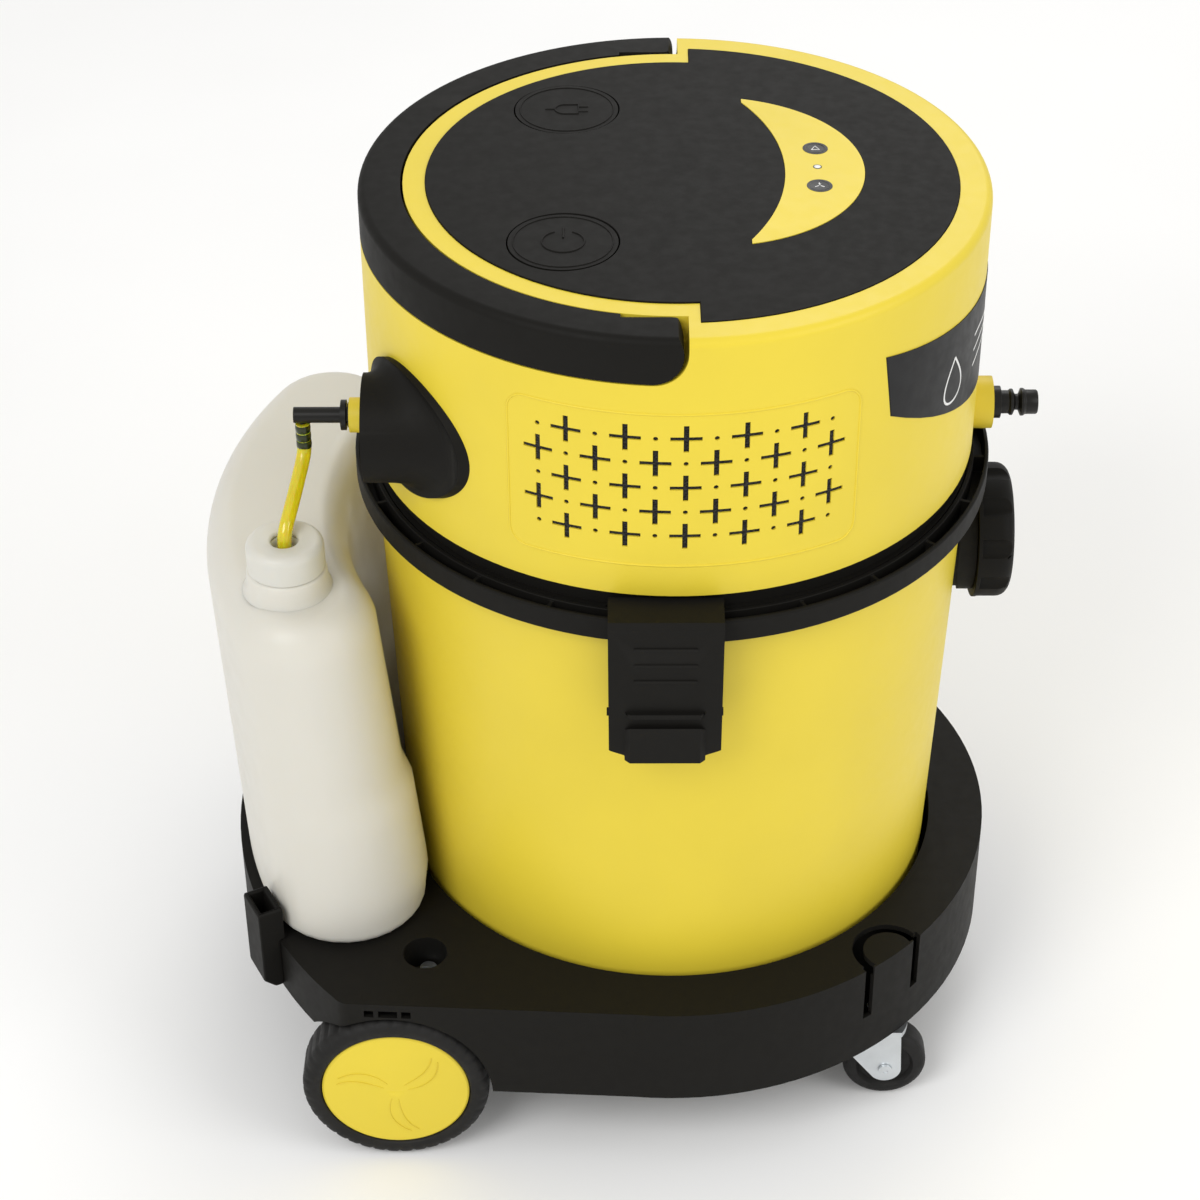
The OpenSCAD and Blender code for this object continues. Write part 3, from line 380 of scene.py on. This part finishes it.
def rounded_box(width, height, corner, count):
    """Outline of a box with round corners about the origin."""
    w, h = width / 2 - corner, height / 2 - corner
    return (arc((w, h), corner, 0, 90, count) + arc((-w, h), corner, 90, 180, count)
            + arc((-w, -h), corner, 180, 270, count) + arc((w, -h), corner, 270, 360, count))


def level_path(x, y, z, points):
    """Points given about (x, y), laid in the level plane at height z."""
    return [Vector((x + across, y + along, z)) for across, along in points]


def on_drum(radius, azimuth, z):
    """A point at that radius and azimuth, in degrees, about the drum's axis."""
    a = math.radians(azimuth)
    return Vector((DRUM_X + radius * math.cos(a), radius * math.sin(a), z))


def soften(names, width, segments=2):
    """Rounds the sharp edges of CAD nodes, whose meshes stay as they are underneath."""
    for name in names:
        piece = NODES[name]
        normals = piece.data.attributes.get("custom_normal")
        if normals:
            piece.data.attributes.remove(normals)
        piece.data.shade_smooth()
        weld = piece.modifiers.new("weld", "WELD")
        weld.merge_threshold = 0.002 * MM
        bevel = piece.modifiers.new("bevel", "BEVEL")
        bevel.width = width
        bevel.segments = segments
        bevel.limit_method = "ANGLE"
        bevel.angle_limit = math.radians(35)
        bevel.harden_normals = True
        bevel.use_clamp_overlap = True


# ---------------------------------------------------------------- suction hose
BARB_X, BARB_Y = -221, -60      # the elbow's barb, in millimetres about the drum's axis


def make_hose():
    """The hose from the elbow's barb through the cap to the filter at the tank's floor."""
    # knots in millimetres about the drum's axis
    route = [(-221, -60, 476), (-221, -60, 468), (-221, -60, 460.5), (-221.4, -61.6, 455.6),
             (-222.5, -65.6, 450.8), (-224.1, -71.8, 445.9), (-225.9, -79, 440.6),
             (-227.7, -86.2, 435.5), (-229.3, -92.4, 431.2), (-230.7, -97.5, 427.2),
             (-231.6, -100.6, 422.8), (-232, -101.9, 417), (-232, -102, 410), (-232, -102, 380),
             (-232.5, -102, 340), (-233, -102, 290), (-233, -102, 240), (-232, -102, 200),
             (-230, -102, 166)]
    points = [Vector((x * MM + DRUM_X, y * MM, z * MM)) for x, y, z in route]
    data = bpy.data.curves.new("suction_hose", "CURVE")
    data.dimensions = "3D"
    data.bevel_depth = 4.4 * MM
    data.bevel_resolution = 6
    data.use_fill_caps = True
    spline = data.splines.new("BEZIER")
    spline.bezier_points.add(len(points) - 1)
    for knot, p in zip(spline.bezier_points, points):
        knot.co = p
        knot.handle_left_type = knot.handle_right_type = "AUTO"
    hose = bpy.data.objects.new("suction_hose", data)
    bpy.context.scene.collection.objects.link(hose)
    data.materials.append(FINISHES["clear_tube"])
    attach(hose, "root")
    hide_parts("suction_tube")


def make_barb_ribs():
    """The barb's three ribs, which show dark green where they stretch the hose's wall."""
    first = node_box("suction_tube")[1].z - 17 * MM
    pitch = 5.6
    for i in range(3):
        z = first / MM + pitch * i
        profile = [(4.3, z), (4.5, z + 0.3), (4.66, z + 2.6), (4.5, z + 4.9), (4.3, z + 5.2)]
        turned("barb_rib_%d" % (i + 1), profile, Vector((BARB_X * MM + DRUM_X, BARB_Y * MM, 0)),
               "head", BARB_GREEN, 32)


# ---------------------------------------------------------------- solution tank
# The crescent tank, in millimetres about the drum's axis: radii of its two walls low and high,
# half of its angle in degrees, heights of foot, shoulder and top, radius of the foot's edge, and
# how far the shoulder draws in.
TANK = {"in_low": 182, "out_low": 284, "in_high": 204, "out_high": 293, "half": 26,
        "foot": 135, "shoulder": 360, "top": 387, "foot_r": 9, "shoulder_in": 20}


def crescent(inner, outer, half):
    """Closed outline of the crescent, in millimetres about the drum's axis."""
    arc_steps, lobe_steps = 36, 16
    middle, lobe = (inner + outer) / 2, (outer - inner) / 2
    right, left = 180 + half, 180 - half

    def polar(radius, angle):
        return (radius * math.cos(math.radians(angle)), radius * math.sin(math.radians(angle)))

    return (arc((0, 0), outer, left, right, arc_steps)
            + arc(polar(middle, right), lobe, right, right + 180, lobe_steps)[1:-1]
            + arc((0, 0), inner, right, left, arc_steps)
            + arc(polar(middle, left), lobe, -half, 180 - half, lobe_steps)[1:-1])


def tank_rings():
    """Height and inset of each ring: the round foot, the wall, then the soft shoulder."""
    t = TANK
    foot_steps, wall_steps, shoulder_steps = 6, 24, 10
    rings = []
    for i in range(foot_steps + 1):
        a = math.radians(15 * i)
        rings.append((t["foot"] + t["foot_r"] * (1 - math.cos(a)), t["foot_r"] * (1 - math.sin(a))))
    wall = t["shoulder"] - t["foot"] - t["foot_r"]
    for i in range(1, wall_steps):
        rings.append((t["foot"] + t["foot_r"] + wall * i / wall_steps, 0))
    for i in range(shoulder_steps + 1):
        a = math.radians(9 * i)
        rings.append((t["shoulder"] + (t["top"] - t["shoulder"]) * math.sin(a),
                      t["shoulder_in"] * (1 - math.cos(a))))
    return rings


def make_tank():
    t = TANK
    step_z, step_h, step_in = 243, 16, 4.5       # middle, height and depth of the inner wall's step
    fade_z, fade_h = 144, 20                     # where the step begins above the foot
    rings = []
    for z, inset in tank_rings():
        share = min(1, max(0, (z - t["foot"]) / (t["shoulder"] - t["foot"])))
        inner = t["in_low"] + (t["in_high"] - t["in_low"]) * share + inset
        outer = t["out_low"] + (t["out_high"] - t["out_low"]) * share - inset
        # the lower part of the inner wall stands a little nearer the drum
        fall = min(1, max(0, (step_z - z) / step_h + 0.5))
        inner -= step_in * fall * fall * (3 - 2 * fall) * min(1, max(0, (z - fade_z) / fade_h))
        rings.append([Vector((x * MM + DRUM_X, y * MM, z * MM))
                      for x, y in crescent(inner, outer, t["half"])])
    points, faces = bridge(rings)
    shell = add_mesh("tank_shell", points, faces, "root", FINISHES["tank_plastic"])
    # neck with its collar, turned about the cap's axis, as (radius, height) in millimetres
    profile = [(27.5, 386.2), (26.2, 388.2), (25.2, 391), (24.6, 396), (24.2, 399.6), (23.2, 401.3),
               (21.4, 401.6), (21, 403), (21, 415.8), (16.2, 415.8), (16.2, 384.5)]
    neck = node_box("tank_cap")[2]
    turned("tank_neck", profile, Vector((neck.x, neck.y, 0)), "root", FINISHES["tank_plastic"])
    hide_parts("tank_body")


def make_cap_sleeve():
    """The sleeve under the cap's hole, whose tight lip the hose passes through."""
    profile = [(8, 417.5), (8, 412.2), (7.2, 411.4), (4.9, 411), (4.9, 409.6), (8.2, 409.6),
               (9.4, 410.8), (9.4, 417.5), (8, 417.5)]
    cap = node_box("tank_cap")[2]
    turned("cap_sleeve", profile, Vector((cap.x, cap.y, 0)), "cap_turn", FINISHES["tank_plastic"])


# ---------------------------------------------------------------- head: vents, exhaust, badge
VENT_AZIMUTH = 88.95            # middle of each field of vents, in degrees to either side
VENT_HEIGHT = 511.5 * MM        # and its height


def make_vent_borders():
    """The fine raised line round each field of vents."""
    bead_r = HEAD_R - 0.15 * MM
    width, height, corner = 2 * math.radians(31.9) * HEAD_R, 101 * MM, 11 * MM
    for name, side in (("right", RIGHT), ("left", LEFT)):
        path = [on_drum(bead_r, side * (VENT_AZIMUTH + math.degrees(x / HEAD_R)), z + VENT_HEIGHT)
                for x, z in rounded_box(width, height, corner, 8)]
        # closer points, each pushed back out onto the wall
        dense = []
        for p, q in zip(path, path[1:] + path[:1]):
            steps = max(1, int((q - p).length / (6 * MM)))
            for i in range(steps):
                r = p.lerp(q, i / steps)
                flat = Vector((r.x - DRUM_X, r.y, 0)).normalized() * bead_r
                dense.append(Vector((flat.x + DRUM_X, flat.y, r.z)))
        lines("vent_border_" + name, [dense], 0.75 * MM, "head", FINISHES["yellow_plastic"])


def make_vent_backing():
    """Dark felt pressed into the vent slots from behind, a little under the wall's face."""
    steps, span = 60, 60                              # span in degrees
    near, far, low, high = 1.1, 1.9, 465, 558         # depths under the wall, and heights
    for name, side in (("right", RIGHT), ("left", LEFT)):
        verts, faces = [], []
        for i in range(steps + 1):
            azimuth = side * (VENT_AZIMUTH + span * (i / steps - 0.5))
            for depth, z in ((near, low), (near, high), (far, high), (far, low)):
                verts.append(on_drum(HEAD_R - depth * MM, azimuth, z * MM))
            if i:
                n = 4 * i
                faces += [(n - 4 + k, n - 4 + (k + 1) % 4, n + (k + 1) % 4, n + k)
                          for k in range(4)]
        faces += [(0, 1, 2, 3), tuple(4 * steps + k for k in (3, 2, 1, 0))]
        add_mesh("vent_felt_" + name, verts, faces, "head", FINISHES["foam"], smooth=False)


def make_exhaust_flare():
    """The smooth trumpet between the exhaust spigot and its oval flange."""
    end_x = node_box("exhaust_spigot")[0].x
    centre_y, centre_z = -102 * MM, 500 * MM
    wall_r, edge_r, tube_r = HEAD_R + 4.2 * MM, 40.6 * MM, 31.9 * MM
    length, lip = 19 * MM, 1.5 * MM
    steps, count = 10, 72
    rings = []
    for k in range(steps + 1):
        t = k / steps
        ring = []
        for i in range(count):
            a = 2 * math.pi * i / count
            y_edge = centre_y + edge_r * math.cos(a)
            x_edge = DRUM_X - math.sqrt(wall_r ** 2 - y_edge ** 2)
            y_tube = centre_y + tube_r * math.cos(a)
            x_tube = DRUM_X - math.sqrt(wall_r ** 2 - y_tube ** 2) - length
            x_tube = max(x_tube, end_x + lip)
            # a quarter of an ellipse, tangent to the flange and to the tube
            out = 1 - math.cos(t * math.pi / 2)
            along = math.sin(t * math.pi / 2)
            radius = tube_r + (edge_r - tube_r) * (1 - along)
            ring.append(Vector((x_edge + (x_tube - x_edge) * out,
                                centre_y + radius * math.cos(a), centre_z + radius * math.sin(a))))
        rings.append(ring)
    points, faces = bridge(rings, capped=False)
    add_mesh("exhaust_flare", points, faces, "head", FINISHES["black_plastic"])


def ribbon(points, width, radius, lift):
    """A thin printed stroke on the head's wall, along points given as (azimuth, height in mm)."""
    verts, faces = [], []
    for i, (a, z) in enumerate(points):
        before, after = points[max(0, i - 1)], points[min(len(points) - 1, i + 1)]
        du = math.radians(after[0] - before[0]) * radius
        dv = (after[1] - before[1]) * MM
        size = math.hypot(du, dv)
        nu, nv = -dv / size * width / 2, du / size * width / 2
        for s in (-1, 1):
            verts.append(on_drum(radius + lift, a + s * math.degrees(nu / radius), z * MM + s * nv))
        if i:
            n = 2 * i
            faces.append((n - 2, n - 1, n + 1, n))
    return verts, faces


def make_badge_mark():
    """A plain mark on the badge: a drop, and three waves beside it."""
    radius = HEAD_R + 0.5 * MM
    # across in degrees of azimuth, heights in millimetres
    drop_at, drop_half, drop_z, drop_rise = -31, 4.6, 528, 15
    wave_at, wave_span, wave_z, wave_gap, wave_rise = -21, 42, 519, 9, 3.2
    drop = []
    for i in range(49):
        turn = math.pi * i / 24
        drop.append((drop_at + drop_half * math.sin(turn) * abs(math.sin(turn / 2)) ** 1.3,
                     drop_z + drop_rise * math.cos(turn)))
    strokes = [drop]
    for k in range(3):
        height = wave_z + wave_gap * k
        strokes.append([(wave_at + wave_span * t,
                         height + wave_rise * math.sin(2 * math.pi * (1.5 * t) + k * 0.5))
                        for t in [i / 40 for i in range(41)]])
    verts, faces = [], []
    for stroke in strokes:
        v, f = ribbon(stroke, 1.5 * MM, radius, 0.12 * MM)
        faces += [tuple(n + len(verts) for n in face) for face in f]
        verts += v
    mark = add_mesh("badge_mark", verts, faces, "head", WHITE_INK)
    mark.modifiers.new("solid", "SOLIDIFY").thickness = 0.1 * MM


# ---------------------------------------------------------------- cover: button signs and lamps
def make_button_signs():
    """Raised signs on the two press buttons, and the raised ring round each."""
    black = FINISHES["black_plastic"]
    for name, body in (("power", "power_button"), ("pump", "pump_button")):
        low, high, middle = node_box("button_" + name)
        z = high.z + 0.05 * MM
        edge = arc((0, 0), (high.x - low.x) / 2 - 3 * MM, 0, 360, 72)[:-1]
        if name == "power":
            sign = [arc((0, 0), 12 * MM, 115, 425, 40), [(0, 4 * MM), (0, 15 * MM)]]
        else:
            plug = [(-13, 0), (-7, 0)] + arc((-1, 0), 6, 180, 90, 8) + [(7, 6), (7, -6)] \
                + arc((-1, 0), 6, 270, 180, 8)
            sign = [[(x * MM, y * MM) for x, y in plug]]
            sign += [[(7 * MM, y), (13 * MM, y)] for y in (3 * MM, -3 * MM)]
        lines("button_edge_" + name, [level_path(middle.x, middle.y, z, edge)], 0.45 * MM, body,
              black)
        lines("button_sign_" + name, [level_path(middle.x, middle.y, z, path) for path in sign],
              0.6 * MM, body, black, closed=False)


def make_lamp_signs():
    """A fine ring and a small pale sign on each lamp window, and the pale lamp between them."""
    low, high, middle = node_box("indicators")
    gap = (high.y - low.y) / 2 - 7.4 * MM
    z = high.z - 0.15 * MM
    ring = arc((0, 0), 5.7 * MM, 0, 360, 40)[:-1]
    # the near sign in (radius, degrees): three spokes and a short stroke; the far one a triangle
    spokes = [[(0.6, a), (3.2, a)] for a in (90, 210, 330)] + [[(1.6, 60), (2.6, 100)]]
    spokes = [[(r * MM * math.cos(math.radians(a)), r * MM * math.sin(math.radians(a)))
               for r, a in spoke] for spoke in spokes]
    triangle = [(x * MM, y * MM) for x, y in ((-2.4, -2), (0, 2.6), (2.4, -2), (-2.4, -2))]
    for name, y, sign in (("near", middle.y - gap, spokes), ("far", middle.y + gap, [triangle])):
        lines("lamp_ring_" + name, [level_path(middle.x, y, z, ring)], 0.25 * MM, "head",
              GREY_INK)
        lines("lamp_sign_" + name, [level_path(middle.x, y, z, path) for path in sign], 0.32 * MM,
              "head", WHITE_INK, closed=False)
    turned("lamp_lens", [(0.01, 0.5), (1.2, 0.4), (2, 0.1), (2.3, -0.4)],
           Vector((middle.x, middle.y, z)), "head", WHITE_INK, 32)


# ---------------------------------------------------------------- wheels
def wheel_parts(name, side):
    """Ribbed tyre, and the three curved arms in relief on the hub cap."""
    tyre_low, tyre_high, middle = node_box("tyre_" + name)
    outer = (tyre_high.x - tyre_low.x) / 2
    half = (tyre_high.y - tyre_low.y) / 2
    edge, groove = 7 * MM, 1.1 * MM
    seat_r, side_r, chamfer = 48 * MM, 49.2 * MM, 1.2 * MM
    shoulder = (outer - edge, half - edge)
    # the tyre's section in (radius, distance across), from one side of the rim to the other
    across = ([(seat_r, -half + chamfer), (side_r, -half)]
              + [(shoulder[0] + r, -half + edge + y) for r, y in arc((0, 0), edge, -90, 0, 6)]
              + [(outer, -half / 2.5 * s) for s in (1, 0, -1)]
              + [(shoulder[0] + r, shoulder[1] + y) for r, y in arc((0, 0), edge, 0, 90, 6)]
              + [(side_r, half), (seat_r, half - chamfer)])
    ribs, per_rib = 40, 5
    count = ribs * per_rib
    rings = []
    for i in range(count):
        a = 2 * math.pi * i / count
        cut = groove if i % per_rib == 0 else 0
        ring = []
        for r, y in across:
            depth = cut if r > outer - edge * 0.75 else 0
            ring.append(Vector((middle.x + (r - depth) * math.cos(a), middle.y - side * y,
                                middle.z + (r - depth) * math.sin(a))))
        rings.append(ring)
    size = len(across)
    points = [p for ring in rings for p in ring]
    faces = []
    for i in range(count):
        here, there = i * size, (i + 1) % count * size
        faces += [(here + k, here + (k + 1) % size, there + (k + 1) % size, there + k)
                  for k in range(size)]
    tyre = add_mesh("tread_" + name, points, faces, "wheel_" + name, FINISHES["tyre_rubber"])
    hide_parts("tyre_" + name)
    cap_low, cap_high, cap_mid = node_box("hub_cap_" + name)
    face_y = cap_low.y if side < 0 else cap_high.y

    def at(radius, angle):
        a = math.radians(angle)
        return Vector((cap_mid.x + radius * MM * math.cos(a), face_y,
                       cap_mid.z + radius * MM * math.sin(a)))

    # each arm is two lines, 16 degrees to either side of it at the hub, closing and curving outward
    arms = []
    for k in range(3):
        turn = 120 * k + 25
        for lean in (-1, 1):
            arms.append([at(8 + 30 * t, turn + lean * (16 - 12 * t) + 22 * t * t)
                         for t in [i / 12 for i in range(13)]])
    lines("hub_arms_" + name, arms, 0.22 * MM, "wheel_" + name, FINISHES["yellow_plastic"],
          closed=False)


# ---------------------------------------------------------------- studio
def area_light(name, place, target, size, power):
    """A round light, size metres across and power watts, aimed at a target."""
    data = bpy.data.lights.new(name, "AREA")
    data.shape = "DISK"
    data.size = size
    data.energy = power
    light = bpy.data.objects.new(name, data)
    bpy.context.scene.collection.objects.link(light)
    light.location = place
    light.rotation_mode = "QUATERNION"
    light.rotation_quaternion = (Vector(target) - Vector(place)).to_track_quat("-Z", "Y")


def make_studio():
    world = bpy.data.worlds.new("studio")
    bpy.context.scene.world = world
    world.use_nodes = True
    sky = world.node_tree.nodes["Background"]
    sky.inputs["Color"].default_value = (1.0, 0.995, 0.985, 1)
    sky.inputs["Strength"].default_value = 0.72
    middle = (0, 0, 0.3)
    area_light("key", (-1.3, -1.9, 2.3), middle, 1.6, 34)
    area_light("fill", (2.1, -1.2, 1.7), middle, 1.8, 17)
    area_light("back", (0.5, 2.1, 2.2), middle, 1.5, 14)
    reach = 6
    floor = bpy.data.meshes.new("floor")
    corners = [(-reach, -reach, 0), (reach, -reach, 0), (reach, reach, 0), (-reach, reach, 0)]
    floor.from_pydata(corners, [], [(0, 1, 2, 3)])
    piece = bpy.data.objects.new("floor", floor)
    bpy.context.scene.collection.objects.link(piece)
    paper = Shader("paper", (0.94, 0.94, 0.935), 0.75, Specular_IOR_Level=0.1)
    paper.tint(paper.noise(3, 2), 1.01, 0.99)
    floor.materials.append(paper.material)
    bpy.context.scene.view_settings.view_transform = "Standard"


make_camera()
make_hose()
make_barb_ribs()
finish_nodes()
make_tank()
make_cap_sleeve()
make_vent_borders()
make_vent_backing()
make_exhaust_flare()
make_badge_mark()
make_button_signs()
make_lamp_signs()
wheel_parts("right", RIGHT)
wheel_parts("left", LEFT)
# rounded edges on the CAD's own pieces
soften(["handle"], 2.2 * MM, 3)
soften(["latch_right", "latch_left"], 1.4 * MM, 3)
soften(["tool_holders"], 1.8 * MM, 3)
soften(["inlet_ring", "tank_cap"], 0.9 * MM)
soften(["top_cover", "button_power", "button_pump", "exhaust_spigot", "rim_ring"], 0.6 * MM)
soften(["dolly_base"], 1.0 * MM)
soften(["caster_fork_right", "caster_fork_left", "outlet_coupler", "elbow_barb"], 0.3 * MM)
make_studio()
